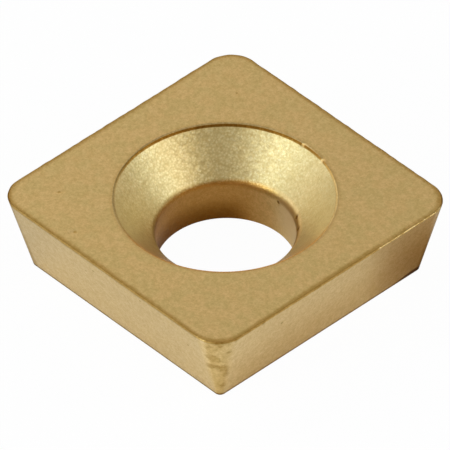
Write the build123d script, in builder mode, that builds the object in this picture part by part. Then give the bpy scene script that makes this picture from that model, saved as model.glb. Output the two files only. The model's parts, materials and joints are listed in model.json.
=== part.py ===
"""Square indexable cutting insert of coated cemented carbide, screwed down through its middle.

One sintered piece: a flat rake face, four relieved flanks that meet in conical noses, a honed cutting edge all
round, and a countersunk bore for the clamping screw. The origin is the centre of the seat face, +Z runs along
the bore towards the rake face, and the sides lie along X and Y. Millimetres and degrees.
"""

import os

from build123d import *

# Driving dimensions
inscribed_circle = 12.7  # across the flats at the rake face, before its edge is honed
thickness = 3.57  # seat face to rake face, 9/64 of an inch
nose_radius = 1.2  # at the rake face; it shrinks down the flank
relief_angle = 15  # flanks and noses lean in by this from the bore's direction
edge_hone = 0.05  # radius of the honed cutting edge
seat_edge_break = 0.05  # radius round the seat face

bore_diameter = 5.5  # clearance for an M5 screw
countersink_diameter = 8.7  # where the cone would meet the rake face if its rim were sharp
countersink_angle = 86  # included angle of the cone
throat_radius = 0.5  # blend from the cone into the bore
rim_radius = 0.12  # blend from the rake face into the cone
bore_foot_break = 0.04  # radius where the bore leaves the seat face

with BuildPart() as insert:
    # The blank: the rake face's rounded square, carried down to the seat face. The draft then leans the sides in
    # about the rake face's outline, which turns the four rounded corners into cones.
    rake_plane = Plane.XY.offset(thickness)
    with BuildSketch(rake_plane):
        RectangleRounded(inscribed_circle, inscribed_circle, nose_radius)
    extrude(amount=-thickness)
    draft(insert.faces().filter_by(Axis.Z, reverse=True), rake_plane, -relief_angle)
    rake_face = insert.faces().sort_by(Axis.Z)[-1]
    seat_face = insert.faces().sort_by(Axis.Z)[0]
    cutting_edge = rake_face.edges()
    seat_edge = seat_face.edges()

    # The cutting edge is honed all round, noses included, and the seat's edge is broken.
    fillet(cutting_edge, edge_hone)
    fillet(seat_edge, seat_edge_break)

    # The screw's bore and countersink, cut from the rake face.
    with Locations(rake_plane):
        CounterSinkHole(
            radius=bore_diameter / 2,
            counter_sink_radius=countersink_diameter / 2,
            counter_sink_angle=countersink_angle,
        )

    # The hole's three circular edges, from the seat face up: foot, throat and rim.
    foot, throat, rim = insert.edges().filter_by(GeomType.CIRCLE).filter_by(
        lambda edge: edge.radius >= bore_diameter / 2 - 0.001
    ).sort_by(Axis.Z)
    fillet(throat, throat_radius)
    fillet(rim, rim_radius)
    fillet(foot, bore_foot_break)

os.makedirs("parts", exist_ok=True)
insert.part.label = "insert_body"
export_step(insert.part, "parts/insert_body.step")
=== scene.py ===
"""Coated carbide cutting insert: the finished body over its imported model, and a small studio round it.

The body is one closed surface. A profile is carried round the square of the flanks, another is turned about
the axis for the screw's hole, and the rake face and the seat face are blended between the two. Lengths are
metres, +Z runs along the hole towards the rake face, and the seat face lies on z = 0."""

import json
import math
from types import SimpleNamespace

import bpy
import numpy as np
from bpy.props import FloatProperty, FloatVectorProperty, PointerProperty
from mathutils import Matrix, Vector


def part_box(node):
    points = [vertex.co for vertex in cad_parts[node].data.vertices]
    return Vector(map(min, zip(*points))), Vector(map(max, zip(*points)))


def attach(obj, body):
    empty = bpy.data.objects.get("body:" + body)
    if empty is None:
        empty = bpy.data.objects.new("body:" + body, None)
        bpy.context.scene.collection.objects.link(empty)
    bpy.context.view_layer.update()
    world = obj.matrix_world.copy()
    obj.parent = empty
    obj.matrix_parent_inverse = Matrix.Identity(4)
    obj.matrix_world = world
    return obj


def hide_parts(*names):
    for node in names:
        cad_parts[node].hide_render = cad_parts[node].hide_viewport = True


bl_info = {
    "name": "Carbide Insert",
    "version": (1, 0, 0),
    "blender": (4, 5, 0),
    "location": "3D View > Sidebar > Insert",
    "description": "Builds a coated square cutting insert and the studio it stands in",
    "category": "Object",
}

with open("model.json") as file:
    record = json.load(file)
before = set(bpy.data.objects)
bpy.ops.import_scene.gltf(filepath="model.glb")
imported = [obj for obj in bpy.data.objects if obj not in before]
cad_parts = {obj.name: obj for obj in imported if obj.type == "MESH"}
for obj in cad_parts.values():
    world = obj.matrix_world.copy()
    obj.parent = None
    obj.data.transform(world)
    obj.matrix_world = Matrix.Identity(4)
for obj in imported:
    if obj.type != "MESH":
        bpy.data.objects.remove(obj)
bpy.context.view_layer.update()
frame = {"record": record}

MM = 0.001
CAD_NODE = "insert_body"
BODY = "root"
MOUNTS = {mount["name"]: mount for mount in frame["record"]["mounts"]}
LOW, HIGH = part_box(CAD_NODE)

# Sizes that the frame doesn't give. The hone takes a little off the sharp square, which is worked back.
RELIEF = math.radians(15)
HONE = 0.05 * MM
HONE_SHARE = math.tan((math.pi / 2 + RELIEF) / 2) - 1
SHARP_SQUARE = HIGH.x - LOW.x + 2 * HONE_SHARE * HONE

# Columns round the body and rows along its section
FLAT_COLUMNS = 132
NOSE_COLUMNS = 44
ROWS = {
    "rim": 6,
    "cone": 26,
    "throat": 9,
    "bore": 9,
    "foot": 3,
    "seat": 10,
    "seat_break": 3,
    "flank": 32,
    "hone": 8,
    "rake": 34,
}
CROWDING = 0.8  # how strongly a face's rows gather towards its two ends

# Unevenness of two rounds: share of the radius, waves round the body, and the seed of the waves' phases
UNEVEN = {
    "hone": (0.18, (9, 23, 41, 67, 97), 3),
    "rim": (0.12, (5, 13, 31, 57), 5),
}

# The faces' slight swell, a sum of sines: how many, spread of rates in radians a metre, height, seed
SWELLS = 9
SWELL_RATE = 900
SWELL_HEIGHT = 0.25 * MM * MM
SWELL_SEED = 11

# The throat's change from cone to bore: how deep it is, and how it climbs towards the smooth side
THROAT_BAND = 0.16 * MM
THROAT_CLIMB = 0.045

# A nose begins where the flank's direction is this near a diagonal, and is in full this much nearer
NOSE_START = 0.35
NOSE_SPAN = 0.4

# Small marks of pressing and handling: place in mm, radius and depth in mm. A negative depth stands proud.
PITS = (
    ((-4.69, -4.46, 3.57), 0.07, 0.02),
    ((-2.54, -5.60, 3.57), 0.08, 0.02),
    ((-4.16, 4.53, 3.57), 0.05, 0.01),
    ((6.10, -2.73, 2.64), 0.07, 0.02),
    ((1.87, -6.26, 3.24), 0.05, 0.01),
    ((-0.89, -6.19, 2.97), 0.05, 0.01),
    ((-1.42, -6.08, 2.56), 0.04, 0.01),
    ((4.33, -6.04, 2.42), 0.05, 0.01),
)
SPECKS = (
    ((6.33, 2.30, 3.53), 0.06, -0.01),
    ((5.75, -3.54, 1.36), 0.07, -0.02),
    ((0.17, 2.75, 1.46), 0.05, -0.01),
    ((1.47, 2.32, 1.67), 0.06, -0.01),
    ((1.69, 2.17, 1.53), 0.05, -0.01),
)
BUMPS = (
    ((4.77, -3.69, 3.57), 0.07, -0.009),
    ((2.16, 4.69, 3.57), 0.07, -0.007),
)

# Stains on the front nose and beside it: place and radius in mm
STAINS = (
    ((5.70, -6.08, 3.13), 0.29),
    ((5.52, -6.01, 2.57), 0.26),
    ((5.68, -5.87, 2.43), 0.25),
    ((6.10, -5.49, 2.87), 0.13),
    ((5.37, -5.87, 1.91), 0.22),
    ((5.58, -5.79, 1.95), 0.19),
    ((5.77, -5.52, 1.79), 0.29),
    ((5.73, -5.37, 1.39), 0.20),
    ((5.54, -5.32, 0.68), 0.16),
    ((6.02, -5.93, 3.45), 0.24),
    ((6.30, -5.35, 3.47), 0.12),
    ((6.30, -3.91, 3.50), 0.12),
)

# Nicks in the hole: angle in degrees, distance from the axis and height in mm, radius and depth in mm
RIM_NICKS = (
    (92.2, 4.31, 3.53, 0.09, 0.05),
    (76.3, 4.32, 3.54, 0.09, 0.05),
)
BORE_NICKS = (
    (89.0, 2.76, 1.62, 0.08, 0.04),
    (60.0, 2.80, 1.91, 0.09, 0.04),
    (46.3, 2.78, 1.88, 0.10, 0.05),
)

# Stretches of the cutting edge with wear, painted with a bright glint: place and reach in mm, and how
# strongly
WORN_GLINTS = (
    ((6.33, 4.0, 3.55), 1.9, 1.0),
    ((5.35, -6.33, 3.55), 0.25, 0.65),
)

# Directions that the coating's tones follow: to the hole's far wall, where the bore is browned darkest as
# painted shade, across the hole to where the cone's grain is finest, out of the flank that is painted
# brighter as painted light, and up the insert
FAR_SIDE = (-0.736, 0.677, 0.0)
SMOOTH_SIDE = (0.677, 0.736, 0.0)
PAINTED_LIGHT_SIDE = (1.0, 0.0, 0.0)
UPWARD = (0.0, 0.0, 1.0)

# The lean also places the painted shade down the outer edges of the noses
FLANK_LEAN = 0.268  # the relief's tangent, for the line down the outer edges of the noses
CRYSTALS = ((8.5, 0.8), (18.0, 0.4))  # cells in a millimetre, and share of the tilt

# The camera: sensor in mm, nearest distance in metres, and the aim point's offsets up and left in mm
SENSOR = 36
NEAREST = 0.01
AIM_UP = 1.572
AIM_LEFT = 0.047

# The studio's sheets. The gap keeps the floor under the seat face's plane and the card over it.
FLOOR_REACH = 1.0
GAP = 0.01 * MM
PAPER = (0.9, 0.9, 0.9, 1)
# Brown of the card: painted shade for the flank to mirror
SHADE_BROWN = (0.42, 0.275, 0.135, 1)
WHITE = (1, 1, 1, 1)

# Corners of the card that gives the flank a painted dark reflection, in mm: along the camera's right, and
# away from it
FLAG = ((4.4, -2.2), (6.2, 0.3), (13.0, 0.9), (13.0, -1.0), (9.2, -2.6))
FLAG_FADE = (4.9, 8.6)  # from where to where it darkens, along the camera's right

# How white the floor and the room are: to the camera and through the hole, and in reflections
RAYS = ("Is Camera Ray", "Is Transmission Ray", "Is Glossy Ray")
FLOOR_WHITE = (0.97, 0.075)
ROOM_WHITE = (1.0, 0.07)
ROOM_LIGHT = 0.25

LAMP_DISTANCE = 0.4

# Tints of the lamps
COOL = (0.85, 1.0, 1.15)
PLAIN = (1.0, 1.0, 1.0)
WARM = (1.13, 1.0, 0.86)

# The lamps: name, degrees round from the camera to its right, degrees up, width in metres, watts, tint
LAMPS = (
    ("left_low", -60, 12, 0.17, 0.721, COOL),
    ("left_edge", -90, 12, 0.17, 0.079, COOL),
    ("left_front", -30, 35, 0.28, 0.094, WARM),
    ("left_key", -60, 35, 0.28, 0.259, COOL),
    ("left_rim", -120, 35, 0.28, 0.360, PLAIN),
    ("left_far", -150, 35, 0.28, 0.144, PLAIN),
    ("far_low", 180, 12, 0.17, 0.135, WARM),
    ("right_edge", 120, 12, 0.17, 0.039, WARM),
    ("right_rim", 90, 35, 0.15, 0.262, COOL),
    ("right_key", 60, 35, 0.15, 0.180, PLAIN),
    ("right_low", 60, 12, 0.17, 0.165, WARM),
    ("right_top", 45, 58, 0.15, 0.051, WARM),
)


class InsertSizes(bpy.types.PropertyGroup):
    """The insert's driving sizes, as a maker's drawing would give them."""

    square: FloatProperty(
        name="Inscribed circle", description="Across the flats at the rake face, before the hone",
        default=SHARP_SQUARE, unit="LENGTH", precision=5)
    thickness: FloatProperty(
        name="Thickness", description="Seat face to rake face", default=HIGH.z, unit="LENGTH", precision=5)
    nose_radius: FloatProperty(
        name="Nose radius", description="Corner radius at the rake face", default=1.2 * MM,
        unit="LENGTH", precision=5)
    relief: FloatProperty(
        name="Relief", description="Lean of the flanks from the hole's direction", default=RELIEF,
        subtype="ANGLE", unit="ROTATION")
    hone: FloatProperty(
        name="Hone", description="Radius of the honed cutting edge", default=HONE, unit="LENGTH", precision=5)
    seat_break: FloatProperty(
        name="Seat break", description="Radius round the seat face", default=0.05 * MM,
        unit="LENGTH", precision=5)
    bore_radius: FloatProperty(
        name="Bore radius", description="Radius of the screw's bore",
        default=MOUNTS["screw_bore"]["dims"]["r_mm"] * MM, unit="LENGTH", precision=5)
    sink_radius: FloatProperty(
        name="Countersink radius", description="Where the cone would meet the rake face with a sharp rim",
        default=4.35 * MM, unit="LENGTH", precision=5)
    sink_angle: FloatProperty(
        name="Countersink angle", description="Lean of the cone from the axis", default=math.radians(43),
        subtype="ANGLE", unit="ROTATION")
    throat: FloatProperty(
        name="Throat radius", description="Blend from the cone into the bore", default=0.5 * MM,
        unit="LENGTH", precision=5)
    rim: FloatProperty(
        name="Rim radius", description="Blend from the rake face into the cone", default=0.12 * MM,
        unit="LENGTH", precision=5)
    foot: FloatProperty(
        name="Foot break", description="Radius where the bore leaves the seat face", default=0.04 * MM,
        unit="LENGTH", precision=5)


class CoatingLook(bpy.types.PropertyGroup):
    """The nitride coating's tones and grain, and the colours that paint light and shade on it."""

    face: FloatVectorProperty(
        name="Rake face", description="Colour of the coating on the flat top and bottom",
        default=(0.92, 0.66, 0.292), subtype="COLOR", size=3, min=0, max=1)
    olive: FloatVectorProperty(
        name="Olive tone", description="Tone that the coating drifts to in patches",
        default=(0.85, 0.638, 0.272), subtype="COLOR", size=3, min=0, max=1)
    flank: FloatVectorProperty(
        name="Flanks", description="Colour of the coating over the ground flanks",
        default=(0.82, 0.643, 0.357), subtype="COLOR", size=3, min=0, max=1)
    # Painted light: this colour paints one flank brighter and paints a highlight on the bore's smooth side
    painted_light_tone: FloatVectorProperty(
        name="Bright flank", description="Colour of the brighter flank and of the bore's pale side",
        default=(0.92, 0.72, 0.385), subtype="COLOR", size=3, min=0, max=1)
    sink: FloatVectorProperty(
        name="Countersink", description="Colour of the coating over the grainy cone",
        default=(0.76, 0.645, 0.34), subtype="COLOR", size=3, min=0, max=1)
    # Painted shade: this brown darkens the bore's far wall and the rim's far side, and also lies on the near
    # side of the cone and round the rim
    bore: FloatVectorProperty(
        name="Bore", description="Colour of the coating where it is thin, most of all in the bore",
        default=(0.70, 0.40, 0.12), subtype="COLOR", size=3, min=0, max=1)
    # The filter's tint darkens both the real stains and the painted shade
    stain_and_shade_tint: FloatVectorProperty(
        name="Stain", description="What the thin stain lets through, along edges, on noses and in pits",
        default=(0.64, 0.55, 0.36), subtype="COLOR", size=3, min=0, max=1)
    # Painted highlight: this colour is the glint where the edge has wear, and on the bright specks
    worn_glint: FloatVectorProperty(
        name="Worn edge", description="Colour of the worn stretches of the edge and of bright specks",
        default=(0.92, 0.73, 0.40), subtype="COLOR", size=3, min=0, max=1)
    roughness: FloatProperty(
        name="Roughness", description="Satin of the flat faces", default=0.42, min=0, max=1,
        subtype="FACTOR")
    sink_roughness: FloatProperty(
        name="Countersink roughness", description="Satin of the cone", default=0.46, min=0, max=1,
        subtype="FACTOR")
    grain: FloatProperty(
        name="Grain", description="Height of the coating's grain", default=0.006 * MM,
        unit="LENGTH", precision=6)
    sparkle: FloatProperty(
        name="Sparkle", description="Tilt of the crystals on the cone", default=0.12, min=0, max=1,
        subtype="FACTOR")


class StudioSettings(bpy.types.PropertyGroup):
    """Camera and light of the small studio."""

    azimuth: FloatProperty(
        name="Azimuth", description="Turn of the camera round the insert", default=math.radians(47.42),
        subtype="ANGLE", unit="ROTATION")
    elevation: FloatProperty(
        name="Elevation", description="Height angle of the camera", default=math.radians(41.656),
        subtype="ANGLE", unit="ROTATION")
    roll: FloatProperty(
        name="Roll", description="Tilt of the camera's frame", default=math.radians(0.87),
        subtype="ANGLE", unit="ROTATION")
    distance: FloatProperty(
        name="Distance", description="Camera to aim point", default=529.9 * MM, unit="LENGTH")
    lens: FloatProperty(
        name="Lens", description="Focal length in millimetres on a 36 mm sensor", default=1085.76, min=1)


def arc(centre_r, centre_z, radius, start, stop, count):
    """Points of a round in the section: centre plus radius times (cos, sin) of an angle from start to stop.
    The angle grows along the first axis; centre and radius may be arrays over the columns."""
    angle = np.linspace(start, stop, count)[:, None]
    return centre_r + radius * np.cos(angle), centre_z + radius * np.sin(angle)


def graded(count):
    """Steps from 0 to 1 that gather at both ends: t less a share of sin(2 pi t) / 2 pi, ends left out."""
    t = np.arange(1, count + 1) / (count + 1)
    return (t - CROWDING * np.sin(2 * math.pi * t) / (2 * math.pi))[:, None]


def path(core):
    """The path round the body. A flat has evenly spaced points along one side of a square of half width
    core and one outward direction; a nose has the square's corner and directions fanned over a quarter
    turn. A point of the body is the path's point plus a distance times its direction."""
    points, directions = [], []
    for side in range(4):
        turn = side * math.pi / 2
        normal = np.array([math.cos(turn), math.sin(turn)])
        tangent = np.array([-normal[1], normal[0]])
        along = -1 + 2 * np.arange(FLAT_COLUMNS)[:, None] / FLAT_COLUMNS
        points.append(core * (normal + along * tangent))
        directions.append(np.broadcast_to(normal, (FLAT_COLUMNS, 2)))
        fan = turn + math.pi / 2 * np.arange(NOSE_COLUMNS) / NOSE_COLUMNS
        points.append(np.broadcast_to(core * (normal + tangent), (NOSE_COLUMNS, 2)))
        directions.append(np.stack([np.cos(fan), np.sin(fan)], axis=1))
    return np.concatenate(points), np.concatenate(directions)


def uneven(part, angle):
    """A round's radius over its nominal one: 1 plus a share of a sum of sines of the angle round the body,
    with seeded phases, that is scaled to about -1 to 1."""
    share, waves, seed = UNEVEN[part]
    phase = np.random.default_rng(seed).uniform(0, 2 * math.pi, len(waves))
    swing = sum(np.sin(count * angle + shift) for count, shift in zip(waves, phase)) / math.sqrt(len(waves))
    return 1 + share * swing


def section(sizes, angle):
    """The body's closed section for every column: lists of (part, turned, hub, edge, height). hub is the
    distance from the axis, which holds where turned is 1, and edge the distance out from the path, which
    holds where it is 0. The section runs down the hole, out across the seat face, up the flank and in across
    the rake face. Each round touches the straight runs beside it, so its centre lies a radius inside both."""
    top = sizes.thickness
    even = np.ones_like(angle)
    hone = sizes.hone * uneven("hone", angle)
    rim = sizes.rim * uneven("rim", angle)
    lean = math.pi / 2 - sizes.sink_angle

    rim_r = sizes.sink_radius + rim * math.tan(lean / 2)
    sink_foot = top - (sizes.sink_radius - sizes.bore_radius) / math.tan(sizes.sink_angle)
    throat_z = sink_foot - sizes.throat * math.tan(sizes.sink_angle / 2)
    seat_reach = sizes.nose_radius - top * math.tan(sizes.relief)
    break_reach = seat_reach - sizes.seat_break * math.tan((math.pi / 2 - sizes.relief) / 2)
    hone_reach = sizes.nose_radius - hone * math.tan((math.pi / 2 + sizes.relief) / 2)

    parts = {
        "rim": arc(rim_r, top - rim, rim, math.pi / 2, math.pi / 2 + lean, ROWS["rim"]),
        "throat": arc(sizes.bore_radius + sizes.throat, throat_z, -sizes.throat * even,
                      -sizes.sink_angle, 0, ROWS["throat"]),
        "foot": arc(sizes.bore_radius + sizes.foot, sizes.foot, sizes.foot * even,
                    math.pi, 1.5 * math.pi, ROWS["foot"]),
        "seat_break": arc(break_reach, sizes.seat_break, sizes.seat_break * even,
                          -math.pi / 2, -sizes.relief, ROWS["seat_break"]),
        "hone": arc(hone_reach, top - hone, hone, -sizes.relief, math.pi / 2, ROWS["hone"]),
    }
    turned = {"rim": 1, "throat": 1, "foot": 1, "seat_break": 0, "hone": 0}
    spans = (("rim", "cone", "throat"), ("throat", "bore", "foot"), ("foot", "seat", "seat_break"),
             ("seat_break", "flank", "hone"), ("hone", "rake", "rim"))
    rows = []
    for before, face, after in spans:
        reach, height = parts[before]
        next_reach, next_height = parts[after]
        rows.append((before, np.full(reach.shape, turned[before]), reach, reach, height))
        share = graded(ROWS[face])
        level = height[-1] + share * (next_height[0] - height[-1])
        if turned[before] == turned[after]:
            across = reach[-1] + share * (next_reach[0] - reach[-1])
            rows.append((face, np.full(across.shape, turned[before]), across, across, level))
        else:
            spread = np.ones_like(level)
            blend = turned[before] + share * (turned[after] - turned[before]) * spread
            hub, edge = (reach[-1], next_reach[0]) if turned[before] else (next_reach[0], reach[-1])
            rows.append((face, blend, hub * spread, edge * spread, level))
    return rows


def surface(sizes):
    """The body as a grid of points, rows along the section by columns round the body, with the part that
    each row is on. A turned point is hub times the column's direction from the axis, a carried point is the
    path's point plus edge times the path's direction, and every point is their mean by how turned it is."""
    points, directions = path(sizes.square / 2 - sizes.nose_radius)
    outline = points + sizes.nose_radius * directions
    angle = np.arctan2(outline[:, 1], outline[:, 0])
    spokes = np.stack([np.cos(angle), np.sin(angle)], axis=1)
    grids, names = [], []
    for name, blend, hub, edge, level in section(sizes, angle):
        across = (blend[..., None] * hub[..., None] * spokes
                  + (1 - blend[..., None]) * (points + edge[..., None] * directions))
        grids.append(np.concatenate([across, level[..., None]], axis=2))
        names += [name] * len(blend)
    return np.concatenate(grids), np.array(names)


def outward(grid):
    """Outward direction at every point: the cross product of steps round the body and along the section."""
    round_step = np.roll(grid, -1, axis=1) - np.roll(grid, 1, axis=1)
    section_step = np.roll(grid, -1, axis=0) - np.roll(grid, 1, axis=0)
    normal = np.cross(round_step, section_step)
    return normal / np.linalg.norm(normal, axis=2, keepdims=True)


def hole_marks(nicks):
    """Nicks in the hole as marks with a place: the distance from the axis times (cos, sin) of the angle."""
    turned = [(math.radians(angle), *rest) for angle, *rest in nicks]
    return [((reach * math.cos(turn), reach * math.sin(turn), height), radius, depth)
            for turn, reach, height, radius, depth in turned]


def marks():
    """Every pit, speck, bump and nick as (place, radius, depth), in mm."""
    return [*PITS, *SPECKS, *BUMPS, *hole_marks(RIM_NICKS), *hole_marks(BORE_NICKS)]


def weathered(grid):
    """The grid with its marks pressed in: each is a bell, depth times exp(-(distance / radius) squared),
    along the surface's direction. A few long sines, a micron or so high, keep the faces from being dead
    flat."""
    rng = np.random.default_rng(SWELL_SEED)
    waves = rng.normal(0, SWELL_RATE, (SWELLS, 3))
    shifts = rng.uniform(0, 2 * math.pi, SWELLS)
    height = SWELL_HEIGHT * np.sin(grid @ waves.T + shifts).sum(axis=2)
    for place, radius, depth in marks():
        away = np.linalg.norm(grid - np.array(place) * MM, axis=2) / (radius * MM)
        height -= depth * MM * np.exp(-away ** 2)
    return grid + height[..., None] * outward(grid)


def beyond(grid, names, part):
    """Signed distance along the section from the middle of a round, for every point, in mm: its sign is
    that of the way the section runs, and it wraps half way round."""
    step = np.linalg.norm(np.roll(grid, -1, axis=0) - grid, axis=2)
    run = np.concatenate([np.zeros((1, grid.shape[1])), np.cumsum(step, axis=0)[:-1]])
    total = step.sum(axis=0)
    gap = run - run[names == part].mean(axis=0)
    return ((gap + total / 2) % total - total / 2) / MM


def zones(grid, names):
    """Which zone every point is in, each from 0 to 1. The throat goes over from cone to bore by the height
    below its top, and that change climbs with the distance towards the smooth side. A nose is where the
    flank's outward direction nears a diagonal: twice the size of the product of its x and y, over a start
    and up to a span."""
    height = grid[..., 2]
    throat = names == "throat"
    climb = THROAT_CLIMB * (grid @ np.array(SMOOTH_SIDE))
    down = (height[throat].max() - height + climb) / THROAT_BAND
    hole = np.isin(names, ("rim", "cone", "throat", "bore", "foot"))[:, None]
    side = np.isin(names, ("flank", "seat_break", "hone"))[:, None]
    bore = np.clip(down, 0, 1) * hole
    normal = outward(grid)
    lean = np.abs(normal[..., 0] * normal[..., 1]) * 2
    return {
        "cone": hole * (1 - bore),
        "bore": bore,
        "flank": side * np.ones_like(height),
        "nose": np.clip(lean - NOSE_START, 0, NOSE_SPAN) / NOSE_SPAN * side,
    }


def grid_mesh(name, grid, attributes):
    """A closed mesh of the grid: every cell is a face, and both directions close on themselves."""
    rows, columns = grid.shape[:2]
    index = np.arange(rows * columns).reshape(rows, columns)
    right = np.roll(index, -1, axis=1)
    quads = np.stack([index, right, np.roll(right, -1, axis=0), np.roll(index, -1, axis=0)], axis=2)
    mesh = bpy.data.meshes.new(name)
    mesh.from_pydata(grid.reshape(-1, 3).tolist(), [], quads.reshape(-1, 4).tolist())
    mesh.polygons.foreach_set("use_smooth", np.ones(rows * columns, dtype=bool))
    for label, values in attributes.items():
        layer = mesh.attributes.new(label, "FLOAT", "POINT")
        layer.data.foreach_set("value", values.ravel().astype(np.float32))
    mesh.update()
    return mesh


class Wire:
    """An output socket of a shader node. Arithmetic on wires and numbers adds the Math node that does it."""

    def __init__(self, graph, socket):
        self.graph = graph
        self.socket = socket

    def math(self, operation, *values):
        return self.graph.node("ShaderNodeMath", {"operation": operation}, dict(enumerate(values)))

    def __add__(self, other):
        return self.math("ADD", self, other)

    def __sub__(self, other):
        return self.math("SUBTRACT", self, other)

    def __rsub__(self, other):
        return self.math("SUBTRACT", other, self)

    def __mul__(self, other):
        return self.math("MULTIPLY", self, other)

    def __abs__(self):
        return self.math("ABSOLUTE", self)

    __radd__ = __add__
    __rmul__ = __mul__


class Graph:
    """A node tree being built."""

    def __init__(self, tree):
        self.tree = tree
        tree.nodes.clear()

    def node(self, kind, settings=None, inputs=None, output=0):
        """Adds a node: settings first, then sockets by name or number. Returns one output as a wire."""
        made = self.tree.nodes.new(kind)
        for key, value in (settings or {}).items():
            setattr(made, key, value)
        for key, value in (inputs or {}).items():
            if isinstance(value, Wire):
                self.tree.links.new(value.socket, made.inputs[key])
            else:
                made.inputs[key].default_value = value
        return Wire(self, made.outputs[output]) if made.outputs else made

    def vector(self, operation, first, second, output="Vector"):
        """Vector Math on two vectors, or on a vector and the number that scales it."""
        slot = "Scale" if operation == "SCALE" else 1
        return self.node("ShaderNodeVectorMath", {"operation": operation}, {0: first, slot: second}, output)

    def place(self):
        """Where on the object a point is, in mm."""
        return self.vector("SCALE", self.node("ShaderNodeTexCoord", output="Object"), 1 / MM)

    def along(self, place, direction):
        """How far a place is from the origin towards a direction, in mm."""
        return self.vector("DOT_PRODUCT", place, direction, "Value")

    def away(self, place, centre):
        """How far a place is from a centre, in mm."""
        return self.vector("DISTANCE", place, centre, "Value")

    def attribute(self, name):
        """One of the mesh's own values."""
        return self.node("ShaderNodeAttribute", {"attribute_name": name}, output="Fac")

    def noise(self, place, scale, detail, roughness=0.5):
        """Noise of about 0 to 1 whose features are 1 / scale long."""
        return self.node("ShaderNodeTexNoise", {"noise_dimensions": "3D"},
                         {"Vector": place, "Scale": scale, "Detail": detail, "Roughness": roughness})

    def cells(self, place, scale, output="Distance"):
        """Cells about 1 / scale wide: the distance to a cell's middle, or its random colour."""
        return self.node("ShaderNodeTexVoronoi", {"feature": "F1"}, {"Vector": place, "Scale": scale}, output)

    def step(self, value, start, stop):
        """0 where the value is at start, 1 where it is at stop, smooth between. start may be above stop."""
        rising = start < stop
        low, high = (start, stop) if rising else (stop, start)
        return self.node("ShaderNodeMapRange", {"interpolation_type": "SMOOTHSTEP"},
                         {"Value": value, "From Min": low, "From Max": high,
                          "To Min": 0.0 if rising else 1.0, "To Max": 1.0 if rising else 0.0})

    def blend(self, share, first, second, kind="MIX"):
        """A colour between two colours."""
        return self.node("ShaderNodeMix", {"data_type": "RGBA", "blend_type": kind},
                         {0: share, 6: first, 7: second}, output=2)

    def spots(self, place, places):
        """1 in the middle of each of the given spots, fading to 0 a little past its radius."""
        total = 0.0
        for centre, radius, *_ in places:
            total = self.step(self.away(place, centre), radius * 1.3, radius * 0.4) + total
        return total

    def white_share(self, seen, mirrored):
        """How much of plain white shows: one share to the camera and through glass, one in reflections."""
        camera, through, glossy = (self.node("ShaderNodeLightPath", output=ray) for ray in RAYS)
        return (camera + through) * seen + glossy * mirrored

    def show(self, share, first, second, kind="ShaderNodeOutputMaterial"):
        """Ends the tree in two shaders, mixed by a share."""
        mixed = self.node("ShaderNodeMixShader", None, {0: share, 1: first, 2: second})
        self.node(kind, None, {"Surface": mixed})


def new_material(name):
    """A material and the graph of its emptied node tree."""
    material = bpy.data.materials.new(name)
    material.use_nodes = True
    return material, Graph(material.node_tree)


def rgba(colour):
    return (*colour, 1.0)


def coating_wires(graph):
    """What the coating's layers share: the place in mm, the mesh's zones and distances from the rounds, how
    far the place is in the directions that tones follow, noise from flecks to specks, and shared masks."""
    place = graph.place()
    names = ("cone", "bore", "flank", "past_edge", "past_rim", "past_throat", "past_seat_edge")
    at = SimpleNamespace(place=place, **{name: graph.attribute(name) for name in names})
    at.back = graph.along(place, FAR_SIDE)
    at.side = graph.along(place, SMOOTH_SIDE)
    at.height = graph.along(place, UPWARD)
    at.far = graph.step(at.back, 0.5, 4.0)
    # Painted light: the mask of the flank that is painted brighter; it also carries painted shade low on that
    # flank and shifts the edge bands
    at.bright = graph.step(graph.along(place, PAINTED_LIGHT_SIDE), 5.0, 5.4)
    at.flecks = graph.step(graph.noise(place, 4.5, 4.0, 0.65), 0.36, 0.64)
    at.specks = graph.step(graph.noise(place, 13.0, 3.0, 0.75), 0.30, 0.70)
    at.ragged = graph.noise(place, 5.0, 3.0, 0.7) - 0.5
    at.coarse = (graph.step(at.back, 0.0, 2.5) * 0.55 + 0.45) * (1.0 - graph.step(at.side, -1.0, 4.0) * 0.4)
    at.nose = graph.step(graph.attribute("nose") + at.ragged * 0.6, 0.1, 0.9)
    at.core = graph.step(abs(at.past_edge - at.bright * 0.02), 0.09, 0.03)
    at.line = graph.step(abs(at.past_rim - at.far * 0.082), 0.075, 0.03)
    at.ramp = graph.step(at.past_rim, -0.22, 0.0) * graph.step(at.past_rim, 0.10, 0.04)
    # Painted highlight: the bore's smooth side, painted pale
    at.pale = at.bore * graph.step(at.side - at.back * 0.4, 0.8, 1.9)
    at.pits = graph.step(graph.spots(place, PITS), 0.0, 1.0)
    return at


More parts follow.
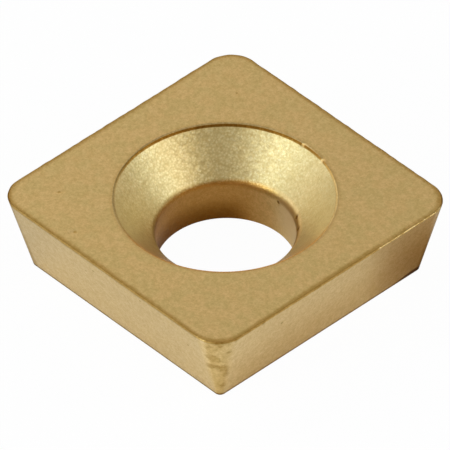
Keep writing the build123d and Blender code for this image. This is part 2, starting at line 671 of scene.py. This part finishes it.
def tones(graph, look, at):
    """The coating's colour, one zone laid over another, with painted light and shade among them. The flat
    faces drift to olive in patches, the ground flanks are paler and one of them is painted brighter as
    painted light, and the cone has its own tone. Brown is laid on the bore's far wall and the rim's far side
    as painted shade, and also on the near side of the cone and along the rim. The bore's smooth side is
    painted pale as a painted highlight, and the noses drift to olive."""
    patches = graph.step(graph.noise(at.place, 1.1, 3.0), 0.40, 0.62)
    colour = graph.blend(patches * 0.7 + at.flecks * 0.2 + at.specks * 0.1, rgba(look.face), rgba(look.olive))
    ground = graph.blend(at.bright, rgba(look.flank), rgba(look.painted_light_tone))
    speckled_bore = graph.step(at.bore + (at.specks - 0.5) * 0.5, 0.1, 0.9)
    # Painted shade: brown on the bore's far wall and on the rim's far side; brown also on the near side of
    # the cone and in a band round the rim
    shaded = (speckled_bore * graph.step(at.back - at.side * 0.7, 0.0, 2.4)
            + at.cone * graph.step(at.back, -1.2, -3.2) * 0.8
            + at.line * at.far * 0.5
            + at.ramp * 0.35)
    layers = (
        # One flank is painted brighter as painted light, and the bore's smooth side is painted pale as a
        # painted highlight
        (at.flank * (1.0 - at.flecks * 0.15), ground),
        (at.cone * (1.0 - at.specks * 0.3), rgba(look.sink)),
        (shaded, rgba(look.bore)),
        (at.pale * 0.9, rgba(look.painted_light_tone)),
        (at.nose * 0.4, rgba(look.olive)),
    )
    for share, tone in layers:
        colour = graph.blend(share, colour, tone)
    return colour


def worn_glint_mask(graph, at):
    """Where the cutting edge has wear and a painted glint: its stretches, each fading near its reach, broken
    up by noise.
    """
    worn_glint = 0.0
    for centre, reach, share in WORN_GLINTS:
        worn_glint = graph.step(graph.away(at.place, centre), reach, reach * 0.8) * share + worn_glint
    return worn_glint * graph.step(at.ragged, -0.14, 0.04)


def edge_stain_and_shade(graph, at, worn_glint):
    """The stain and painted shade along edges: a ragged band with a darker core on the honed edge, the core
    partly painted shade that dulls the hone's highlight, the band thinner where the edge has wear and glints;
    a painted contact shadow in a line round the seat face that widens at one nose; and painted shade in a
    line down that nose and its opposite."""
    frayed = at.past_edge + at.ragged * 0.2
    lip = (graph.step(frayed + at.nose * 0.06 - at.bright * 0.09, -0.18, -0.08)
           * graph.step(frayed - at.bright * 0.06, 0.23, 0.06))
    # The core is partly painted shade, dulling the hone's highlight; the band thins where the edge has wear
    # and glints
    band = ((lip * 0.6 + at.core * (0.5 - at.bright * 0.12)) * (1.0 - worn_glint * 0.6)
            + graph.step(at.past_edge, -0.04, 0.0) * graph.step(at.past_edge, 0.36, 0.05) * 0.3)
    corner = graph.step(at.side, 6.4, 7.3)
    # Painted shade: a contact shadow in a line round the seat face, wider at one nose
    seat = graph.step(abs(at.past_seat_edge) - corner * 0.16, 0.16, 0.06) * (corner + 1.9)
    # Painted shade: a dark line down the outer edges of two noses
    silhouette_shade = graph.step(abs(at.side) - at.height * FLANK_LEAN, 7.26, 7.5) * at.flank
    return band + seat + silhouette_shade * 1.1


def hole_shade_and_nicks(graph, at):
    """The painted shade in the hole, and its nicks: a line round the rim, a painted dark reflection strong on
    the far wall and broken by the rim's nicks, a soft band of painted shade round the throat, the nicks in
    the bore, and painted shade at the foot of its far wall."""
    bites = graph.step(graph.spots(at.place, hole_marks(RIM_NICKS)), 0.0, 0.6)
    # Painted dark reflection: the rim's line, strong on the far side
    rim = (at.line * (at.far * (at.ragged * 2.4 + 2.5) + 0.05) * (1.0 - bites)
           + at.ramp * (0.12 - at.far * 0.07))
    # Painted shade round the throat's crease, stronger towards the smooth side and the near side
    throat = (graph.step(at.past_throat, -0.24, -0.06) * graph.step(at.past_throat, 0.28, 0.08)
              * (graph.step(at.side, 0.3, 1.6) * 0.45 + graph.step(at.back, 1.2, 0.2) * 0.45 + 0.15))
    chips = graph.step(graph.spots(at.place, hole_marks(BORE_NICKS)), 0.0, 1.0)
    # Painted shade: darker towards the foot of the bore's far wall
    foot = at.bore * graph.step(at.height, 1.3, 0.0) * graph.step(at.back - at.side * 1.2, 1.0, 2.8)
    return rim + throat + chips * 2.0 + foot * 1.9


def face_stain_and_shade(graph, at):
    """The stain and painted shade on faces: blotches on the noses and where the stains are, the pits, painted
    shade low on the bright flank, fine grime all over that is less in the bore's painted pale highlight, and
    pebbles on the cone."""
    patchy = graph.noise(at.place, 3.4, 5.0, 0.75)
    blotches = (at.nose * (graph.step(patchy, 0.47, 0.62) * 0.4 + 0.2)
                + at.flank * graph.step(graph.spots(at.place, STAINS) * 0.7 + (patchy - 0.5) * 1.8, 0.1, 0.9))
    # Painted shade: darker towards the bottom of the bright flank
    painted_shade_low = at.flank * at.bright * graph.step(at.height, 2.9, 0.3)
    # The grime is less where the bore's smooth side has its painted highlight
    grime = (at.specks * 0.29 + at.flecks * 0.2) * (1.0 - at.pale * 0.8)
    pebbles = at.cone * graph.step(graph.cells(at.place, 10.0), 0.25, 0.75) * at.coarse
    return blotches * 0.6 + at.pits * 0.8 + painted_shade_low * 0.31 + grime + pebbles * 0.42


def facets(graph, look, at):
    """The surface's direction, tilted crystal by crystal: to it is added, for cells of two sizes, a cell's
    random colour less a half, times the tilt, and the sum is made one unit long. The cone tilts most."""
    tilt = (at.cone * 0.9 * at.coarse + at.bore * 0.55 + 0.05) * look.sparkle
    facet = graph.node("ShaderNodeNewGeometry", output="Normal")
    for scale, share in CRYSTALS:
        lean = graph.vector("SUBTRACT", graph.cells(at.place, scale, "Color"), (0.5, 0.5, 0.5))
        facet = graph.vector("ADD", facet, graph.vector("SCALE", lean, tilt * share))
    return graph.node("ShaderNodeVectorMath", {"operation": "NORMALIZE"}, {0: facet})


def nitride_coating(look):
    """Satin gold nitride over sintered carbide. Its tones are seen through a stain, which works as a
    filter: the tone times the stain's colour to the power of how thick the stain is. The same filter paints
    shade along edges, in the hole and low on one flank. Stretches of the edge with wear, where a painted
    highlight glints, and bright specks, partly painted highlight, shine over both. The cone is rougher,
    grainier and a little glazed, and the edge's core is matt."""
    material, graph = new_material("nitride_coating")
    at = coating_wires(graph)
    worn_glint = worn_glint_mask(graph, at)
    # How thick the filter is: real stain and painted shade added together
    thickness = edge_stain_and_shade(graph, at, worn_glint) + hole_shade_and_nicks(graph, at) + face_stain_and_shade(graph, at)
    stain = graph.node("ShaderNodeGamma", None, {"Color": rgba(look.stain_and_shade_tint), "Gamma": thickness})
    colour = graph.blend(1.0, tones(graph, look, at), stain, "MULTIPLY")
    hone = graph.step(abs(at.past_edge + 0.02), 0.04, 0.015)
    # Painted highlight: proud specks painted paler, partly their own colour
    speck_glint = graph.step(graph.spots(at.place, SPECKS), 0.0, 1.0) * 0.5
    # Painted highlight: a glint along the hone where the edge has wear
    colour = graph.blend(worn_glint * hone * (at.ragged * 2.4 + 0.05) + speck_glint, colour, rgba(look.worn_glint))

    roughness = ((at.specks - 0.5) * 0.06 + look.roughness + at.core * (1.0 - worn_glint) * 0.25
                 + at.cone * (look.sink_roughness - look.roughness) + at.pits * 0.1)
    grain = graph.noise(at.place, 16.0, 3.0, 0.7) * (at.cone * 0.88 + 0.12)
    bump = graph.node("ShaderNodeBump", None, {"Strength": 1.0, "Distance": look.grain, "Height": grain,
                                               "Normal": facets(graph, look, at)})
    shader = graph.node("ShaderNodeBsdfPrincipled", None,
                        {"Base Color": colour, "Metallic": 1.0, "Roughness": roughness, "Normal": bump,
                         "Coat Weight": at.cone * (1.0 - at.line) * 0.5, "Coat Roughness": 0.3})
    graph.node("ShaderNodeOutputMaterial", None, {"Surface": shader})
    return material


class INSERT_OT_body(bpy.types.Operator):
    """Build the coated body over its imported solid"""

    bl_idname = "insert.body"
    bl_label = "Build the body"

    def execute(self, context):
        sizes = context.scene.insert_sizes
        grid, names = surface(sizes)
        attributes = {
            "past_edge": beyond(grid, names, "hone"),
            "past_rim": beyond(grid, names, "rim"),
            "past_seat_edge": beyond(grid, names, "seat_break"),
            "past_throat": beyond(grid, names, "throat"),
            **zones(grid, names),
        }
        mesh = grid_mesh("coated_body", weathered(grid), attributes)
        body = bpy.data.objects.new("coated_body", mesh)
        context.scene.collection.objects.link(body)
        mesh.materials.append(nitride_coating(context.scene.coating_look))
        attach(body, BODY)
        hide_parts(CAD_NODE)
        return {"FINISHED"}


def camera_axes(studio):
    """The camera's right, up and forward directions: forward from azimuth and elevation, then the roll."""
    heading = studio.azimuth + math.pi / 2
    flat = Vector((math.cos(heading), math.sin(heading), 0))
    forward = flat * math.cos(studio.elevation) - Vector((0, 0, math.sin(studio.elevation)))
    right = Vector((math.sin(heading), -math.cos(heading), 0))
    up = right.cross(forward)
    right, up = (right * math.cos(studio.roll) - up * math.sin(studio.roll),
                 right * math.sin(studio.roll) + up * math.cos(studio.roll))
    return right, up, forward


def add_camera(context, studio):
    """The camera, drawn back from its aim point against forward by its distance, and turned to its axes."""
    right, up, forward = camera_axes(studio)
    aim = up * AIM_UP * MM - right * AIM_LEFT * MM
    data = bpy.data.cameras.new("camera")
    data.lens = studio.lens
    data.sensor_width = SENSOR
    data.clip_start = NEAREST
    camera = bpy.data.objects.new("camera", data)
    camera.matrix_world = Matrix.Translation(aim - forward * studio.distance) @ Matrix(
        (right, up, -forward)).transposed().to_4x4()
    context.scene.collection.objects.link(camera)
    context.scene.camera = camera


def softbox(context, name, azimuth, elevation, size, power, tint):
    """A square lamp that faces the insert from an azimuth and elevation given in degrees."""
    turn, lift = math.radians(azimuth), math.radians(elevation)
    toward = Vector((math.sin(turn) * math.cos(lift), -math.cos(turn) * math.cos(lift), math.sin(lift)))
    data = bpy.data.lights.new(name, "AREA")
    data.shape = "SQUARE"
    data.size = size
    data.energy = power
    data.color = tint
    lamp = bpy.data.objects.new(name, data)
    lamp.location = toward * LAMP_DISTANCE
    lamp.rotation_euler = toward.to_track_quat("Z", "Y").to_euler()
    lamp.visible_camera = False
    context.scene.collection.objects.link(lamp)


def flat_sheet(context, name, corners, material):
    """A flat sheet with the given corners, placed in the scene."""
    mesh = bpy.data.meshes.new(name)
    mesh.from_pydata([tuple(corner) for corner in corners], [], [tuple(range(len(corners)))])
    mesh.materials.append(material)
    sheet = bpy.data.objects.new(name, mesh)
    context.scene.collection.objects.link(sheet)
    return sheet


def studio_floor(context):
    """The floor, a pale sheet. To the camera, and a little in reflections, it shows as white paper."""
    material, graph = new_material("white_paper")
    paper = graph.node("ShaderNodeBsdfDiffuse", None, {"Color": PAPER})
    white = graph.node("ShaderNodeEmission", None, {"Color": WHITE, "Strength": 1.0})
    graph.show(graph.white_share(*FLOOR_WHITE), paper, white)
    square = ((-1, -1), (1, -1), (1, 1), (-1, 1))
    corners = [(x * FLOOR_REACH, y * FLOOR_REACH, -GAP) for x, y in square]
    floor = flat_sheet(context, "studio_floor", corners, material)


def studio_flag(context, studio):
    """A card on the floor beside the insert, a painted dark reflection standing in for shade, for the flank
    to mirror.
    It shades from white to brown along the camera's right, and only reflections see it."""
    right = np.array([math.cos(studio.azimuth), math.sin(studio.azimuth), 0])
    away = np.array([-math.sin(studio.azimuth), math.cos(studio.azimuth), 0])
    material, graph = new_material("painted_shade_card")
    paper = graph.node("ShaderNodeBsdfDiffuse", None, {"Color": PAPER})
    card = graph.node("ShaderNodeBsdfDiffuse", None, {"Color": SHADE_BROWN})
    # Painted shade: the card darkens from white to brown along the camera's right
    graph.show(graph.step(graph.along(graph.place(), tuple(right)), *FLAG_FADE), paper, card)
    corners = [(x * right + y * away) * MM + (0, 0, GAP) for x, y in FLAG]
    flag = flat_sheet(context, "studio_flag", corners, material)
    flag.visible_camera = False
    flag.visible_diffuse = False
    flag.visible_shadow = False


def studio_world(context):
    """Plain grey surroundings that the camera sees as white."""
    world = bpy.data.worlds.new("studio")
    world.use_nodes = True
    graph = Graph(world.node_tree)
    room = graph.node("ShaderNodeBackground", None, {"Color": WHITE, "Strength": ROOM_LIGHT})
    white = graph.node("ShaderNodeBackground", None, {"Color": WHITE, "Strength": 1.0})
    graph.show(graph.white_share(*ROOM_WHITE), room, white, "ShaderNodeOutputWorld")
    context.scene.world = world


class INSERT_OT_studio(bpy.types.Operator):
    """Set up the floor, the card, the surroundings, the lamps and the camera"""

    bl_idname = "insert.studio"
    bl_label = "Set up the studio"

    def execute(self, context):
        studio = context.scene.insert_studio
        context.scene.view_settings.view_transform = "Standard"
        studio_floor(context)
        studio_flag(context, studio)
        studio_world(context)
        for name, swing, lift, size, power, tint in LAMPS:
            softbox(context, name, math.degrees(studio.azimuth) + swing, lift, size, power, tint)
        add_camera(context, studio)
        return {"FINISHED"}


class INSERT_PT_panel(bpy.types.Panel):
    """Sizes, finish and studio of the insert"""

    bl_idname = "INSERT_PT_panel"
    bl_label = "Carbide Insert"
    bl_space_type = "VIEW_3D"
    bl_region_type = "UI"
    bl_category = "Insert"

    def draw(self, context):
        for group in (context.scene.insert_sizes, context.scene.coating_look, context.scene.insert_studio):
            box = self.layout.box()
            for key in group.__annotations__:
                box.prop(group, key)
        for operator in (INSERT_OT_body, INSERT_OT_studio):
            self.layout.operator(operator.bl_idname)


CLASSES = (InsertSizes, CoatingLook, StudioSettings, INSERT_OT_body, INSERT_OT_studio, INSERT_PT_panel)


def register():
    for cls in CLASSES:
        bpy.utils.register_class(cls)
    bpy.types.Scene.insert_sizes = PointerProperty(type=InsertSizes)
    bpy.types.Scene.coating_look = PointerProperty(type=CoatingLook)
    bpy.types.Scene.insert_studio = PointerProperty(type=StudioSettings)


def unregister():
    del bpy.types.Scene.insert_studio
    del bpy.types.Scene.coating_look
    del bpy.types.Scene.insert_sizes
    for cls in reversed(CLASSES):
        bpy.utils.unregister_class(cls)


def main():
    register()
    bpy.ops.insert.studio()
    bpy.ops.insert.body()


if __name__ == "__main__":
    main()
